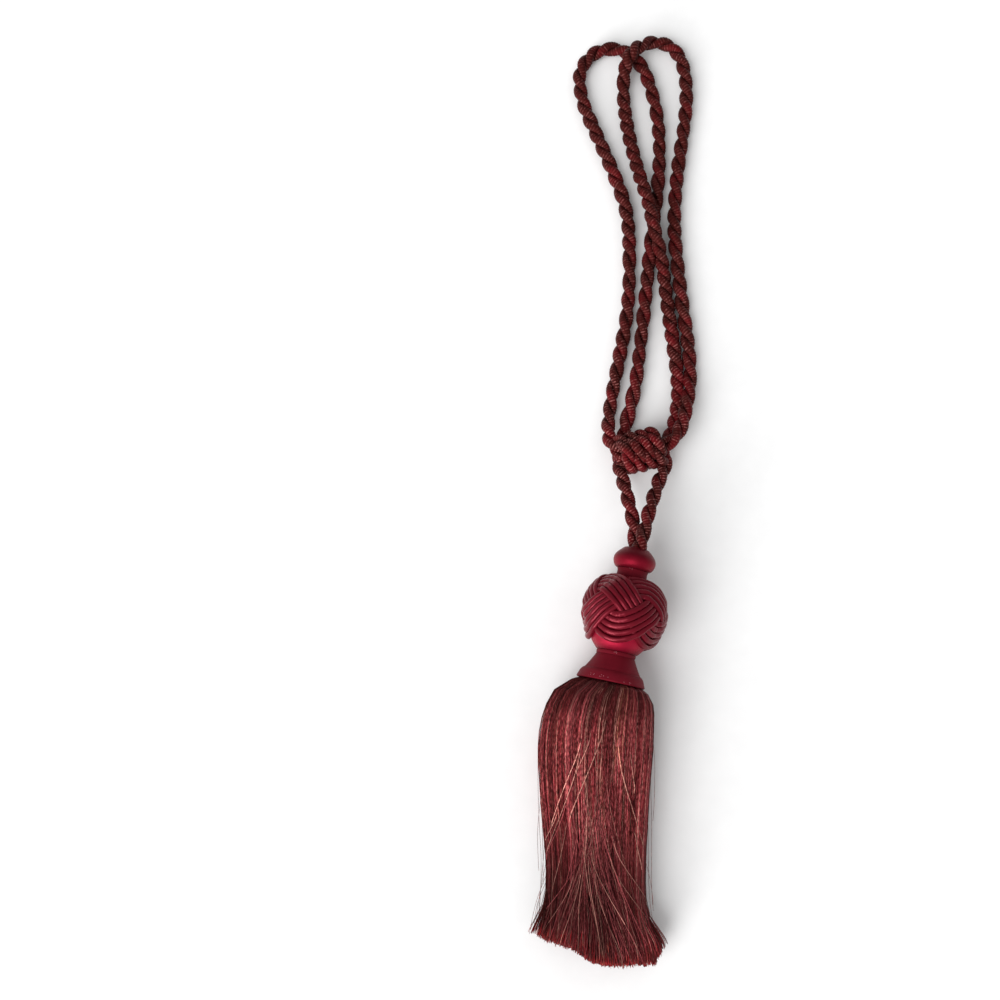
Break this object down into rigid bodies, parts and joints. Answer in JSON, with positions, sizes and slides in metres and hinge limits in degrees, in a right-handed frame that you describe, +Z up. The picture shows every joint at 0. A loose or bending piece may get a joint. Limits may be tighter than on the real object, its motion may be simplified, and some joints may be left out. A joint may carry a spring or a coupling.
{
  "type": "curtain tieback tassel",
  "caption": "Twisted rope curtain tieback in long loops bound by a wound knot, with a turned head in a woven band and a skirt of cut threads.",
  "frame": {"origin": "middle of the footprint of the tassel, from cap to hem and without the rope, on the surface that it lies on", "axes": "+Y from the skirt towards the loops along the tassel, +Z up from the surface"},
  "size_m": [0.1152, 0.6258, 0.0546],
  "materials": {
    "satin": "fine satin thread wound round a turned mould, crimson with a soft sheen",
    "satin_cord": "satin-covered cords plaited round the ball",
    "skirt_thread": "cut viscose threads in wine, maroon, brown and copper",
    "rope": "two-ply rope of yarn wrapped in fine thread, dark wine with paler glints"
  },
  "bodies": {
    "root": {"ball": "satin", "upper_neck": "satin", "cap": "satin", "lower_neck": "satin", "collar": "satin", "collar_band": "satin", "woven_band": "satin_cord", "skirt": "skirt_thread", "knot": "rope", "rope_leg_left": "rope", "rope_leg_right": "rope", "rope_loop_left": "rope", "rope_loop_right": "rope"}
  },
  "joints": []
}
